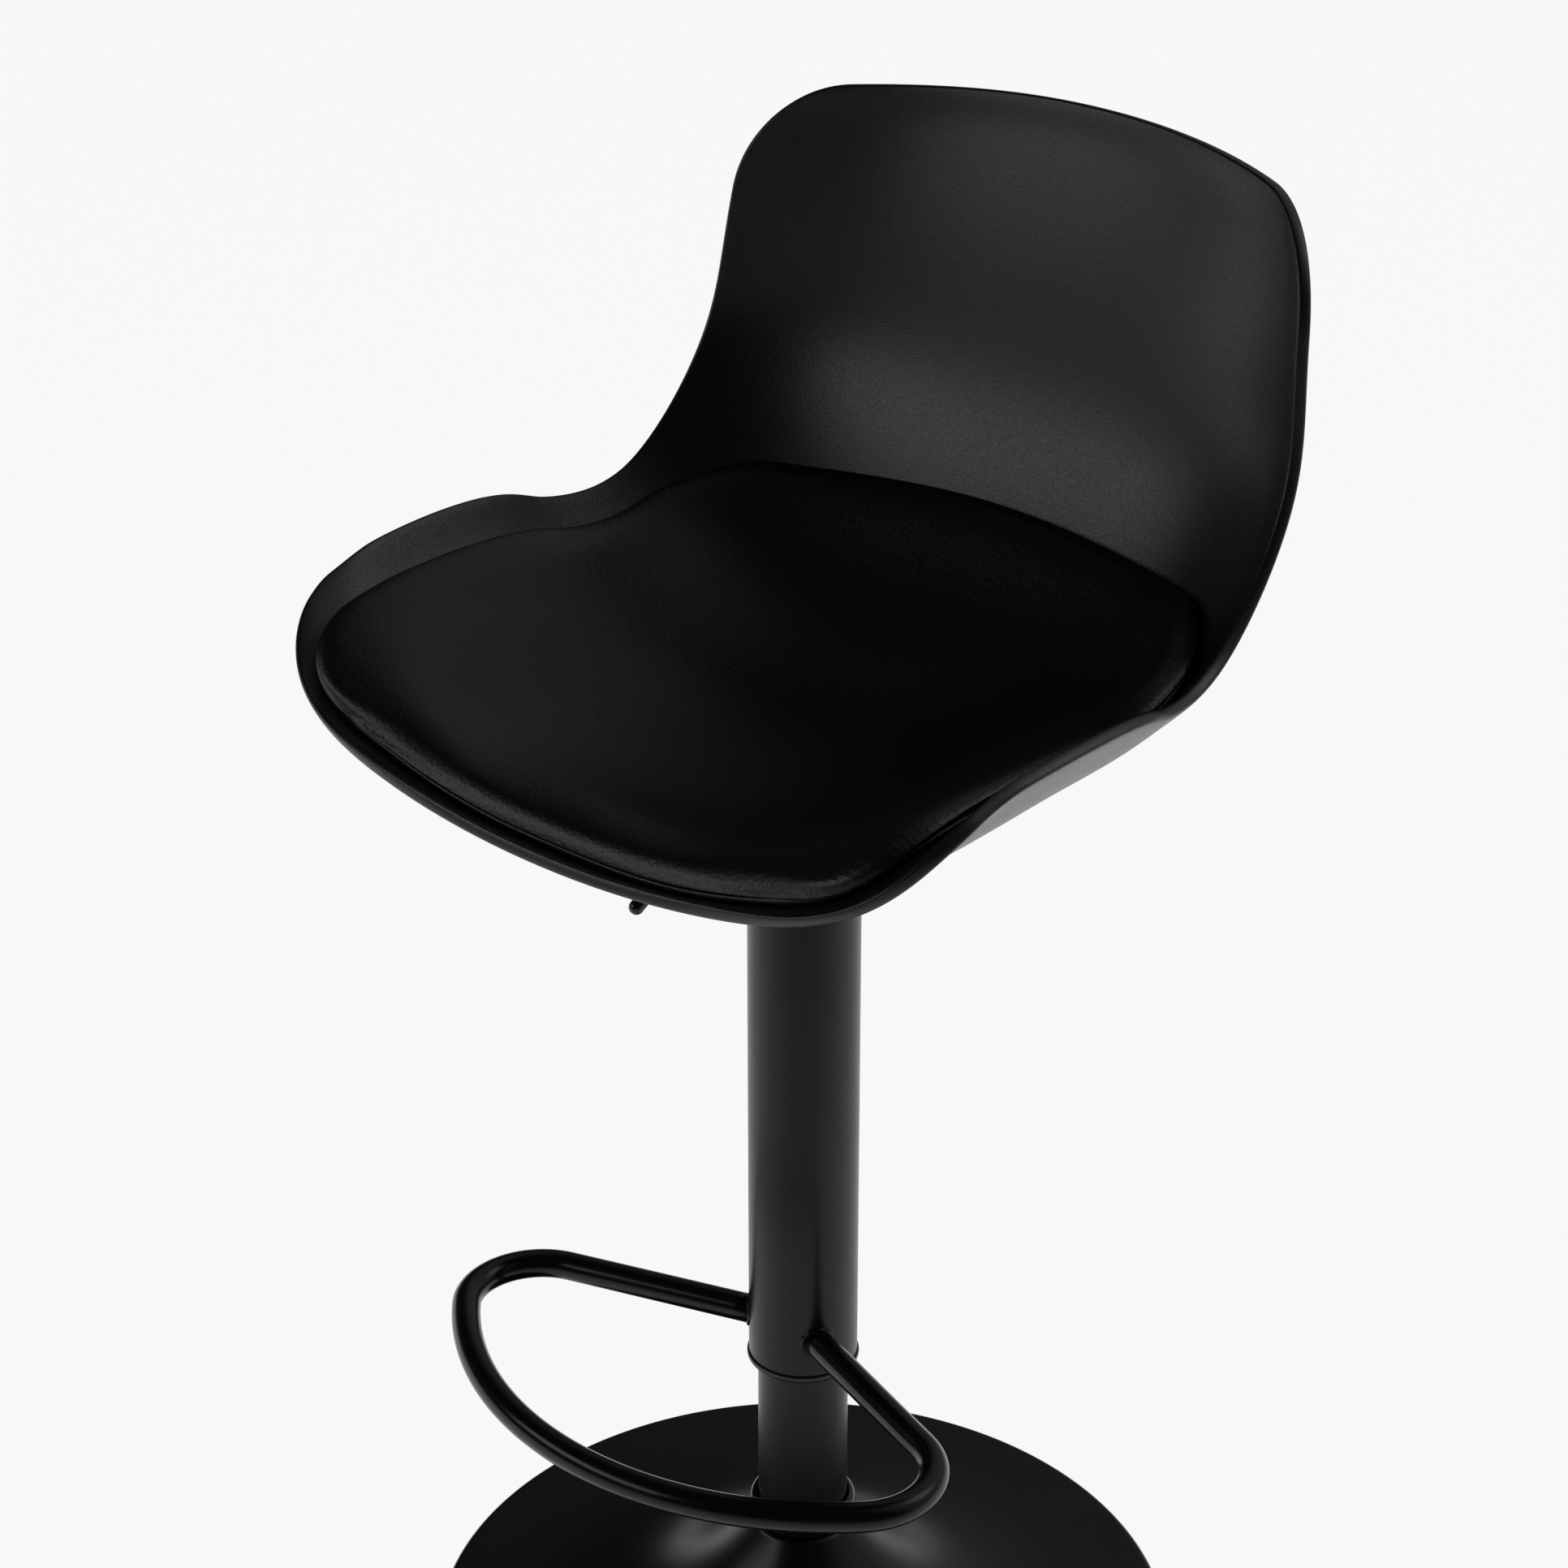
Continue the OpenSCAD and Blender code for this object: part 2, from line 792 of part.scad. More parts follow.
module shell_bosses() {
    base_z = plate_z + plate_t;
    color([0.11, 0.11, 0.12])
        at_boss_sites()
            difference() {
                cylinder(h = $boss_top - base_z, r = 9);
                translate([0, 0, -1])
                    cylinder(h = 14, r = 4.2);
            }
}

module at_boss_sites() {
    for (x = [-bolt_x, bolt_x], y = [plate_y - bolt_y, plate_y + bolt_y]) {
        $boss_top = boss_top(x, y);
        translate([x, y, plate_z + plate_t])
            children();
    }
}

module threaded_inserts() {
    color([0.72, 0.58, 0.25])
        at_bolts()
            ring(plate_z + plate_t, 10, 4.2, 3.05);
}

edge_ring();
weight_plate();
base_hub();
hub_bolts();
base_cover();
trim_collar();
stand_tube();
guide_bush();
bearing_lower_race();
bearing_cage();
bearing_balls();
bearing_upper_race();
retaining_clip();
piston_rod();
piston();
stop_bumper();
gas_cylinder();
rod_guide();
sleeve();
sleeve_cap();
sleeve_guide_ring();
footrest();
taper_socket();
seat_plate();
lever_bracket();
lever_pin();
lever();
release_pin();
seat_bolts();
seat_washers();
shell_bosses();
threaded_inserts();
seat_shell();
cushion_board();
seat_cushion();
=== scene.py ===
"""Bar stool: a bucket seat with a leather pad, a gas lift, a footrest and a trumpet base."""
import math

import bpy
import numpy as np
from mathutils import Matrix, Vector


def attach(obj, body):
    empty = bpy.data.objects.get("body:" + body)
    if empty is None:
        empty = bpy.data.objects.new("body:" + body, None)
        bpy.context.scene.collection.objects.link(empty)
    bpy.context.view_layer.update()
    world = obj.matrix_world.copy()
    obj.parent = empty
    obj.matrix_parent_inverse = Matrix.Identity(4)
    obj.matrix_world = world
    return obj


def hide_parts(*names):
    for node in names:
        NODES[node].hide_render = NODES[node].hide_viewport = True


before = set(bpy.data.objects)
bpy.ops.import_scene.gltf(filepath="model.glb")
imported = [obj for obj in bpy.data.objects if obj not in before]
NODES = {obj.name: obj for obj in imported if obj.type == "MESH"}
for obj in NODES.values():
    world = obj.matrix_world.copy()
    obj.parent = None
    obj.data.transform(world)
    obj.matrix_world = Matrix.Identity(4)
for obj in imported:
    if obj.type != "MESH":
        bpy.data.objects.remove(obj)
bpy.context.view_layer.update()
MM = 0.001

# ---- Camera and light ----

CAMERA_AT = Vector((1.1303, -1.2866, 1.3624))
CAMERA_AIM = Vector((-0.5991, 0.6735, -0.4329))
LENS_MM = 84.8
SENSOR_MM = 36.0
SEAT_AT = (0, 0, 0.65)
PALE_TOWARDS = (0.27, 0.75, 0.60)
STUDIO_DARK, STUDIO_PALE = 0.02, 0.34
PAPER_HALF = 30
PAPER_GLOW, PAPER_FRONT = 0.925, 0.3      # strength of the paper's glow, and on the viewer's side
PAPER_FALL = 1.3                          # how far from the stool it falls to the second one
TOWARDS_VIEWER = (0.66, -0.75, 0.0)


def link(obj):
    bpy.context.scene.collection.objects.link(obj)
    return obj


def aim(obj, direction):
    obj.rotation_mode = "QUATERNION"
    obj.rotation_quaternion = Vector(direction).to_track_quat("-Z", "Y")


def make_camera():
    data = bpy.data.cameras.new("camera")
    data.sensor_width = SENSOR_MM
    data.lens = LENS_MM
    data.clip_end = 60
    camera = link(bpy.data.objects.new("camera", data))
    camera.location = CAMERA_AT
    aim(camera, CAMERA_AIM)
    bpy.context.scene.camera = camera


def softbox(name, place, width, height, power):
    """An area light that faces the seat."""
    data = bpy.data.lights.new(name, "AREA")
    data.shape = "RECTANGLE"
    data.size = width
    data.size_y = height
    data.energy = power
    lamp = link(bpy.data.objects.new(name, data))
    lamp.location = place
    aim(lamp, Vector(SEAT_AT) - Vector(place))


def make_light():
    """A dark studio that grows paler behind and above the stool, and three softboxes."""
    world = bpy.data.worlds.new("studio")
    bpy.context.scene.world = world
    world.use_nodes = True
    nodes, links = world.node_tree.nodes, world.node_tree.links
    coord = nodes.new("ShaderNodeTexCoord")
    split = nodes.new("ShaderNodeVectorMath")
    split.operation = "DOT_PRODUCT"
    split.inputs[1].default_value = PALE_TOWARDS
    links.new(coord.outputs["Generated"], split.inputs[0])
    ramp = nodes.new("ShaderNodeMapRange")
    ramp.interpolation_type = "SMOOTHSTEP"
    ramp.inputs["From Min"].default_value = 0.4
    ramp.inputs["From Max"].default_value = 0.95
    ramp.inputs["To Min"].default_value = STUDIO_DARK
    ramp.inputs["To Max"].default_value = STUDIO_PALE
    links.new(split.outputs["Value"], ramp.inputs["Value"])
    links.new(ramp.outputs["Result"], nodes["Background"].inputs["Strength"])
    nodes["Background"].inputs["Color"].default_value = (1, 1, 1, 1)
    softbox("front_left", (-1.35, -2.05, 1.62), 2.4, 0.8, 12)
    softbox("back_right", (1.6, 1.9, 2.6), 1.6, 1.6, 9)
    softbox("right_side", (2.6, 0.9, 0.9), 0.8, 1.2, 0.4)


def make_floor():
    """Pale paper that glows evenly, and falls off on the viewer's side of the stool."""
    mesh = bpy.data.meshes.new("floor")
    corners = [(x * PAPER_HALF, y * PAPER_HALF, 0) for x, y in ((-1, -1), (1, -1), (1, 1), (-1, 1))]
    mesh.from_pydata(corners, [], [(0, 1, 2, 3)])
    floor = link(bpy.data.objects.new("floor", mesh))
    paper = new_material("studio_paper", (0.06, 0.06, 0.06), 0.95)
    place = add(paper, "ShaderNodeTexCoord").outputs["Object"]
    ahead = add(paper, "ShaderNodeVectorMath", {0: place, 1: TOWARDS_VIEWER},
                operation="DOT_PRODUCT").outputs["Value"]
    glow = add(paper, "ShaderNodeMapRange", {"Value": ahead, "From Min": 0.0, "From Max": PAPER_FALL,
                                             "To Min": PAPER_GLOW, "To Max": PAPER_FRONT},
               interpolation_type="SMOOTHSTEP")
    feed(paper, "Emission Strength", glow.outputs["Result"])
    shader = paper.node_tree.nodes["Principled BSDF"]
    shader.inputs["Emission Color"].default_value = (1, 1, 1, 1)
    shader.inputs["Specular IOR Level"].default_value = 0.0
    mesh.materials.append(paper)


# ---- Material nodes ----

def new_material(name, colour, roughness, metallic=0.0, **sockets):
    mat = bpy.data.materials.new(name)
    mat.use_nodes = True
    shader = mat.node_tree.nodes["Principled BSDF"]
    shader.inputs["Base Color"].default_value = (*colour, 1)
    shader.inputs["Roughness"].default_value = roughness
    shader.inputs["Metallic"].default_value = metallic
    for socket, value in sockets.items():
        shader.inputs[socket.replace("_", " ")].default_value = value
    return mat


def add(mat, kind, inputs=None, **settings):
    node = mat.node_tree.nodes.new(kind)
    for key, value in settings.items():
        setattr(node, key, value)
    for socket, value in (inputs or {}).items():
        if isinstance(value, bpy.types.NodeSocket):
            mat.node_tree.links.new(value, node.inputs[socket])
        else:
            node.inputs[socket].default_value = value
    return node


def feed(mat, socket, value):
    shader = mat.node_tree.nodes["Principled BSDF"]
    mat.node_tree.links.new(value, shader.inputs[socket])


def place_on(mat, stretch=(1, 1, 1), turn=(0, 0, 0)):
    coord = add(mat, "ShaderNodeTexCoord")
    mapping = add(mat, "ShaderNodeMapping", {"Vector": coord.outputs["Object"], "Scale": stretch,
                                             "Rotation": turn})
    return mapping.outputs["Vector"]


def cloudy(mat, where, scale, detail=2.0, roughness=0.5):
    node = add(mat, "ShaderNodeTexNoise", {"Vector": where, "Scale": scale, "Detail": detail,
                                           "Roughness": roughness})
    return node.outputs["Fac"]


def remap(mat, value, from_range, to_range):
    node = add(mat, "ShaderNodeMapRange", {"Value": value, "From Min": from_range[0],
                                           "From Max": from_range[1], "To Min": to_range[0],
                                           "To Max": to_range[1]})
    return node.outputs["Result"]


def tinted(mat, value, low, high):
    node = add(mat, "ShaderNodeMix", data_type="RGBA")
    mat.node_tree.links.new(value, node.inputs["Factor"])
    for socket in node.inputs:
        if socket.type == "RGBA":
            socket.default_value = (*(low if socket.name == "A" else high), 1)
    colours = [s for s in node.outputs if s.type == "RGBA"]
    feed(mat, "Base Color", colours[0])


def bumped(mat, heights):
    """Chains bumps: each item is a height output and its depth in metres."""
    normal = None
    for height, depth in heights:
        inputs = {"Height": height, "Distance": depth, "Strength": 1.0}
        if normal:
            inputs["Normal"] = normal
        normal = add(mat, "ShaderNodeBump", inputs).outputs["Normal"]
    feed(mat, "Normal", normal)


def moulded_plastic(name, colour, lighter, roughness, grain=0.00006):
    """Moulded plastic with the fine grain of an eroded mould."""
    mat = new_material(name, colour, roughness, Specular_IOR_Level=0.5)
    where = place_on(mat)
    fine = cloudy(mat, where, 850, 3, 0.6)
    broad = cloudy(mat, where, 9, 3)
    tinted(mat, broad, colour, lighter)
    feed(mat, "Roughness", remap(mat, fine, (0.3, 0.7), (roughness - 0.06, roughness + 0.08)))
    bumped(mat, [(fine, grain)])
    return mat


def grained_leather(name):
    """Coated leather: small pebbles, drawn out where it is stretched, with fine creases."""
    mat = new_material(name, (0.0030, 0.0027, 0.0028), 0.36, Specular_IOR_Level=0.4)
    straight = place_on(mat)
    warp = add(mat, "ShaderNodeTexNoise", {"Vector": straight, "Scale": 60.0, "Detail": 2.0})
    pushed = add(mat, "ShaderNodeVectorMath", {0: warp.outputs["Color"]}, operation="SCALE")
    pushed.inputs["Scale"].default_value = 0.0035
    moved = add(mat, "ShaderNodeVectorMath", {0: straight, 1: pushed.outputs["Vector"]},
                operation="ADD")
    pebbles = add(mat, "ShaderNodeTexVoronoi", {"Vector": moved.outputs["Vector"], "Scale": 520.0},
                  feature="SMOOTH_F1").outputs["Distance"]
    drawn = place_on(mat, (1.0, 0.42, 1.0), (0, 0, 0.5))
    creases = cloudy(mat, drawn, 620, 3, 0.65)
    # Where the cover turns round the right side it is gathered into short puckers.
    gathered = cloudy(mat, place_on(mat, (0.22, 1.0, 0.5)), 430, 2, 0.5)
    across = add(mat, "ShaderNodeSeparateXYZ", {"Vector": straight}).outputs["X"]
    near_side = remap(mat, across, (0.12, 0.175), (0.0, 1.0))
    puckers = add(mat, "ShaderNodeMath", {0: gathered, 1: near_side}, operation="MULTIPLY")
    broad = cloudy(mat, straight, 14, 3)
    tinted(mat, broad, (0.0024, 0.0021, 0.0022), (0.0038, 0.0034, 0.0036))
    feed(mat, "Roughness", remap(mat, pebbles, (0.1, 0.7), (0.32, 0.42)))
    flipped = remap(mat, pebbles, (0.0, 0.8), (1.0, 0.0))
    bumped(mat, [(puckers.outputs["Value"], 0.0004), (creases, 0.00008), (flipped, 0.00012)])
    return mat


def painted_steel(name, colour, lighter, roughness):
    """Satin lacquer over steel: a little orange peel, faint wipe marks and dust."""
    mat = new_material(name, colour, roughness, Specular_IOR_Level=0.3)
    where = place_on(mat)
    broad = cloudy(mat, where, 16, 4)
    peel = cloudy(mat, where, 330, 2)
    speck = cloudy(mat, where, 1500, 2, 0.7)
    tinted(mat, broad, colour, lighter)
    feed(mat, "Roughness", remap(mat, broad, (0.3, 0.7), (roughness - 0.03, roughness + 0.05)))
    bumped(mat, [(peel, 0.00002), (speck, 0.000006)])
    return mat


def bare_metal(name, colour, roughness, lay=(1, 1, 1)):
    """Bare metal with turning or rolling marks drawn out along the lay."""
    mat = new_material(name, colour, roughness, 1.0)
    marks = cloudy(mat, place_on(mat, lay), 700, 3, 0.7)
    broad = cloudy(mat, place_on(mat), 30, 3)
    darker = tuple(0.75 * c for c in colour)
    tinted(mat, broad, darker, colour)
    feed(mat, "Roughness", remap(mat, marks, (0.3, 0.7), (roughness - 0.08, roughness + 0.1)))
    bumped(mat, [(marks, 0.00001)])
    return mat


def rubber(name):
    mat = new_material(name, (0.012, 0.012, 0.012), 0.75)
    where = place_on(mat)
    fine = cloudy(mat, where, 600, 4, 0.7)
    tinted(mat, cloudy(mat, where, 20, 3), (0.010, 0.010, 0.010), (0.018, 0.017, 0.016))
    feed(mat, "Roughness", remap(mat, fine, (0.3, 0.7), (0.65, 0.85)))
    bumped(mat, [(fine, 0.00008)])
    return mat


def plywood(name):
    mat = new_material(name, (0.42, 0.28, 0.15), 0.6)
    grain = cloudy(mat, place_on(mat, (0.08, 1.0, 1.0)), 260, 4, 0.6)
    tinted(mat, grain, (0.30, 0.19, 0.10), (0.50, 0.35, 0.20))
    bumped(mat, [(grain, 0.00008)])
    return mat


def make_materials():
    return {
        "shell": moulded_plastic("shell_plastic", (0.0040, 0.0040, 0.0056), (0.0054, 0.0054, 0.0074),
                                 0.35, 0.0001),
        "leather": grained_leather("pad_leather"),
        "steel": painted_steel("black_steel", (0.0038, 0.0032, 0.0027), (0.0052, 0.0045, 0.0039),
                               0.30),
        "bar": painted_steel("footrest_lacquer", (0.0034, 0.0030, 0.0029),
                             (0.0046, 0.0042, 0.0040), 0.20),
        "gloss": moulded_plastic("gloss_black", (0.004, 0.004, 0.0045), (0.005, 0.005, 0.0055),
                                 0.12, 0.00001),
        "plastic": moulded_plastic("black_plastic", (0.008, 0.008, 0.0085), (0.011, 0.011, 0.0115),
                                   0.35, 0.00004),
        "rubber": rubber("black_rubber"),
        "weight": bare_metal("weight_steel", (0.30, 0.30, 0.31), 0.45, (1, 0.06, 1)),
        "bright": bare_metal("bright_steel", (0.62, 0.62, 0.64), 0.28),
        "chrome": bare_metal("rod_chrome", (0.72, 0.72, 0.74), 0.12, (1, 1, 0.05)),
        "brass": bare_metal("brass", (0.72, 0.52, 0.22), 0.3),
        "nylon": moulded_plastic("nylon", (0.62, 0.61, 0.56), (0.70, 0.69, 0.64), 0.45, 0.00003),
        "pin": moulded_plastic("pin_plastic", (0.62, 0.14, 0.03), (0.68, 0.17, 0.04), 0.4, 0.00003),
        "board": plywood("board"),
    }


# ---- Mesh helpers ----

def add_mesh(name, points, faces, material, body, replaced=()):
    """Makes one smooth-shaded piece from points in millimetres, and has it ride on its body."""
    mesh = bpy.data.meshes.new(name)
    mesh.from_pydata([tuple(float(c) * MM for c in p) for p in points], [], faces)
    mesh.polygons.foreach_set("use_smooth", [True] * len(mesh.polygons))
    mesh.materials.append(material)
    mesh.update()
    piece = link(bpy.data.objects.new(name, mesh))
    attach(piece, body)
    if replaced:
        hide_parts(*replaced)
    return piece


def rounded(corners, steps=5, hold=0.6):
    """A closed outline from corners (x, y, radius), each corner an arc, with a point held near it."""
    outline = []
    count = len(corners)
    for k, (x, y, radius) in enumerate(corners):
        here = np.array((x, y), float)
        before = np.array(corners[k - 1][:2], float) - here
        after = np.array(corners[(k + 1) % count][:2], float) - here
        if radius <= 0:
            outline.append(here)
            continue
        b, a = before / np.linalg.norm(before), after / np.linalg.norm(after)
        half = 0.5 * math.acos(max(-1.0, min(1.0, float(b @ a))))
        back = radius / math.tan(half)
        middle = here + (b + a) / np.linalg.norm(b + a) * radius / math.sin(half)
        first, final = here + b * back, here + a * back
        outline.append(first + b * min(hold, 0.25 * np.linalg.norm(before)))
        for s in range(steps + 1):
            w = s / steps
            sweep = (first - middle) * math.sin((1 - w) * (math.pi - 2 * half)) \
                + (final - middle) * math.sin(w * (math.pi - 2 * half))
            outline.append(middle + sweep / math.sin(math.pi - 2 * half))
        outline.append(final + a * min(hold, 0.25 * np.linalg.norm(after)))
    return outline


def lathe(name, outline, material, body, replaced=(), steps=144):
    """Turns a closed outline of (radius, height) points about the column's axis."""
    count = len(outline)
    points = []
    for k in range(steps):
        c, s = math.cos(2 * math.pi * k / steps), math.sin(2 * math.pi * k / steps)
        points += [(r * c, r * s, z) for r, z in outline]
    faces = []
    for k in range(steps):
        m = (k + 1) % steps
        for i in range(count):
            j = (i + 1) % count
            faces.append((k * count + i, k * count + j, m * count + j, m * count + i))
    if signed_area(outline) > 0:
        faces = [face[::-1] for face in faces]
    add_mesh(name, points, faces, material, body, replaced)


def signed_area(outline):
    total = 0.0
    for k, (x, y) in enumerate(outline):
        nx, ny = outline[(k + 1) % len(outline)]
        total += x * ny - nx * y
    return total / 2


def sweep_tube(rings_at, sides):
    """Points and faces of a closed tube. rings_at holds (centre, side, up, radius) for each ring."""
    points, faces = [], []
    for centre, side, up, radius in rings_at:
        for k in range(sides):
            turn = 2 * math.pi * k / sides
            points.append(centre + radius * (math.cos(turn) * side + math.sin(turn) * up))
    for i in range(len(rings_at) - 1):
        for k in range(sides):
            m = (k + 1) % sides
            a, b = i * sides, (i + 1) * sides
            faces.append((a + k, a + m, b + m, b + k))
    last = (len(rings_at) - 1) * sides
    faces.append(tuple(range(sides - 1, -1, -1)))
    faces.append(tuple(last + k for k in range(sides)))
    return points, faces


# ---- The seat's sheet, the same surface as the CAD shell ----

# y, z, half width, rise of the sides, fullness of the curve, from the front edge to the top.
SECTIONS = np.array([
    (-190, 568, 220, 35, 2),
    (-175, 563, 212, 80, 3),
    (-115, 540, 215, 102, 3),
    (-10, 550, 218, 100, 3),
    (35, 550, 210, 85, 3),
    (120, 580, 200, 65, 3.5),
    (185, 690, 195, 40, 3.5),
    (195, 760, 190, 50, 3),
    (220, 850, 180, 55, 2.5),
], float)
HELD = np.vstack([2 * SECTIONS[0] - SECTIONS[1], SECTIONS, 2 * SECTIONS[-1] - SECTIONS[-2]])
SPANS = len(SECTIONS) - 1
SHELL_WALL = 4.5
ROUND_POWER = 2.2
LIP_OUT, LIP_FULLNESS = 1.5, 2.5
RIM_BEAD, BEAD_WIDTH, SHEET_LENGTH = 1.0, 9.0, 620.0
FRONT_ROUND, FRONT_REACH, TOP_ROUND, TOP_REACH = 100.0, 0.16, 45.0, 0.075
FRONT_CROWN, TOP_CROWN = 0.005, 0.02


def section(a):
    """A smooth curve that passes near the sections, for a from 0 at the front to 1 at the top."""
    s = np.clip(a, 0, 1) * SPANS
    i = np.minimum(np.floor(s).astype(int), SPANS - 1)
    f = (s - i)[..., None]
    return ((1 - f) ** 3 * HELD[i] + (3 * f ** 3 - 6 * f ** 2 + 4) * HELD[i + 1]
            + (-3 * f ** 3 + 3 * f ** 2 + 3 * f + 1) * HELD[i + 2] + f ** 3 * HELD[i + 3]) / 6


def unit(v):
    return v / np.maximum(np.linalg.norm(v, axis=-1, keepdims=True), 1e-12)


def sheet(x, a):
    """The sheet's middle surface at x from the centre plane and a along the centreline."""
    s = section(a)
    ahead = section(np.minimum(a + 0.001, 1)) - section(np.maximum(a - 0.001, 0))
    g = unit(ahead[..., :2])
    rise = s[..., 3] * (np.abs(x) / s[..., 2]) ** s[..., 4]
    return np.stack([x, s[..., 0] - g[..., 1] * rise, s[..., 1] + g[..., 0] * rise], -1)


def sheet_normal(x, a):
    along = sheet(x, np.minimum(a + 0.002, 1)) - sheet(x, np.maximum(a - 0.002, 0))
    across = sheet(x + 0.5, a) - sheet(x - 0.5, a)
    return unit(np.cross(across, along))


def lifted(x, a, height):
    return sheet(x, a) + np.asarray(height)[..., None] * sheet_normal(x, a)


def rounding(d, reach, size):
    """How much narrower a rounded outline is at a distance d from its end."""
    left = np.maximum(1 - d / reach, 0) ** ROUND_POWER
    return size * (1 - np.maximum(1 - left, 0) ** (1 / ROUND_POWER))


def shell_x(t, u):
    return u * (section(t)[..., 2] - rounding(t, FRONT_REACH, FRONT_ROUND)
                - rounding(1 - t, TOP_REACH, TOP_ROUND))


def shell_a(t, u):
    x = shell_x(t, u)
    front_half = section(np.array(0.0))[2] - FRONT_ROUND
    top_half = section(np.array(1.0))[2] - TOP_ROUND
    return t * (1 - TOP_CROWN * (x / top_half) ** 2) + (1 - t) * FRONT_CROWN * (x / front_half) ** 2


def half_wall(t, u):
    """Half the wall's thickness: it swells into a soft bead close to the rim."""
    away = np.minimum(np.minimum(t, 1 - t) * SHEET_LENGTH, (1 - np.abs(u)) * section(t)[..., 2])
    return SHELL_WALL / 2 + RIM_BEAD * np.exp(-(away / BEAD_WIDTH) ** 2)


def crowded(count):
    """Values from 0 to 1 that crowd together towards both ends."""
    s = np.arange(count + 1) / count
    return s ** 2 / (s ** 2 + (1 - s) ** 2) * 0.8 + 0.2 * s ** 2 * (3 - 2 * s)


def spread(count):
    s = np.arange(count + 1) / count
    return 0.5 * s + 0.25 * (1 - np.cos(np.pi * s))


def grid_faces(rows, cols, first, flip):
    faces = []
    for i in range(rows):
        for j in range(cols):
            a = first + i * (cols + 1) + j
            quad = (a, a + 1, a + cols + 2, a + cols + 1)
            faces.append(quad[::-1] if flip else quad)
    return faces


def outline_of(rows, cols):
    """Grid indices once round the outline."""
    places = [(0, j) for j in range(cols)] + [(i, cols) for i in range(rows)]
    places += [(rows, j) for j in range(cols, 0, -1)] + [(i, 0) for i in range(rows, 0, -1)]
    return [i * (cols + 1) + j for i, j in places]


def band_faces(ring_a, ring_b):
    count = len(ring_a)
    return [(ring_a[k], ring_a[(k + 1) % count], ring_b[(k + 1) % count], ring_b[k])
            for k in range(count)]


def make_shell(mats):
    """The moulded shell: two faces of the sheet and a rounded lip round its edge."""
    rows, cols, turns = 190, 120, 9
    t, u = np.meshgrid(crowded(rows), 2 * spread(cols) - 1, indexing="ij")
    x, a = shell_x(t, u), shell_a(t, u)
    wall = half_wall(t, u)
    half = SHELL_WALL / 2 + RIM_BEAD
    inner = lifted(x, a, wall).reshape(-1, 3)
    outer = lifted(x, a, -wall).reshape(-1, 3)
    edge = outline_of(rows, cols)
    count = len(edge)
    mid = (inner[edge] + outer[edge]) / 2
    along = unit(np.roll(mid, -1, 0) - np.roll(mid, 1, 0))
    up = unit(inner[edge] - outer[edge])
    out = unit(np.cross(along, up))
    size = len(inner)
    points = [inner, outer]
    rings = [edge]
    for k in range(turns):
        angle = math.pi * (0.5 - (k + 1) / (turns + 1))
        power = 2 / LIP_FULLNESS
        reach = LIP_OUT * abs(math.cos(angle)) ** power
        lift = math.copysign(half * abs(math.sin(angle)) ** power, angle)
        points.append(mid + reach * out + lift * up)
        rings.append([2 * size + k * count + i for i in range(count)])
    rings.append([e + size for e in edge])
    faces = grid_faces(rows, cols, 0, False) + grid_faces(rows, cols, size, True)
    for ring_a, ring_b in zip(rings, rings[1:]):
        faces += [face[::-1] for face in band_faces(ring_a, ring_b)]
    add_mesh("bucket_shell", np.vstack(points), faces, mats["shell"], "seat_set",
             ["seat_shell"])


# ---- The pad ----

PAD_FRONT, PAD_FRONT_CROWN, PAD_BACK, PAD_BACK_CROWN = 0.075, 0.02, 0.7, 0.02
PAD_MARGIN = 14.0
PAD_FRONT_ROUND, PAD_FRONT_REACH, PAD_BACK_ROUND, PAD_BACK_REACH = 60.0, 0.22, 45.0, 0.1
PAD_LOW = SHELL_WALL / 2 + 3.4
PAD_EDGE = 6.0
PAD_CROWN = 18.0
PAD_LENGTH, PAD_HALF = 387.0, 195
PAD_GROW = -0.003                         # an inset below 0: a little past the CAD pad's outline
FOAM_SHARE = 0.86                         # part of the crown that is foam; the cloth adds the rest
SHOULDER, TUCK, RIM_LIFT = 17.0, 5.0, 1.6
SEAM_GAP = 0.4
SWELL_CAP = 0.005
SWELL_FRAMES = 15
EVEN_ROUNDS = 40
WRAP_OUTER, WRAP_INNER = 0.014, 0.034     # insets of the turned-under edge
CLOTH = {"quality": 6, "mass": 0.3, "tension_stiffness": 25, "compression_stiffness": 25,
         "shear_stiffness": 12, "bending_stiffness": 1.5, "use_pressure": True,
         "uniform_pressure_force": 3, "vertex_group_mass": "held"}


def pad_x(t, u):
    return u * (section((1 - t) * PAD_FRONT + t * PAD_BACK)[..., 2] - PAD_MARGIN
                - rounding(t, PAD_FRONT_REACH, PAD_FRONT_ROUND)
                - rounding(1 - t, PAD_BACK_REACH, PAD_BACK_ROUND))


def pad_a(t, u):
    x = pad_x(t, u)
    front_half = section(np.array(PAD_FRONT))[2] - PAD_MARGIN - PAD_FRONT_ROUND
    back_half = section(np.array(PAD_BACK))[2] - PAD_MARGIN - PAD_BACK_ROUND
    return ((1 - t) * (PAD_FRONT - PAD_FRONT_CROWN * (x / front_half) ** 2)
            + t * (PAD_BACK - PAD_BACK_CROWN * (x / back_half) ** 2))


def pad_points(t, u, inset, height):
    x = (1 - inset) * pad_x(t, u)
    a = pad_a(inset + (1 - 2 * inset) * t, u)
    return lifted(x, a, height)


def shoulder(away, width):
    """Rises from 0 at the rim to 1 at a width from it, upright at first and then flat."""
    left = 1 - np.clip(away / width, 0, 1)
    return (1 - left ** 2.4) ** (1 / 2.4)


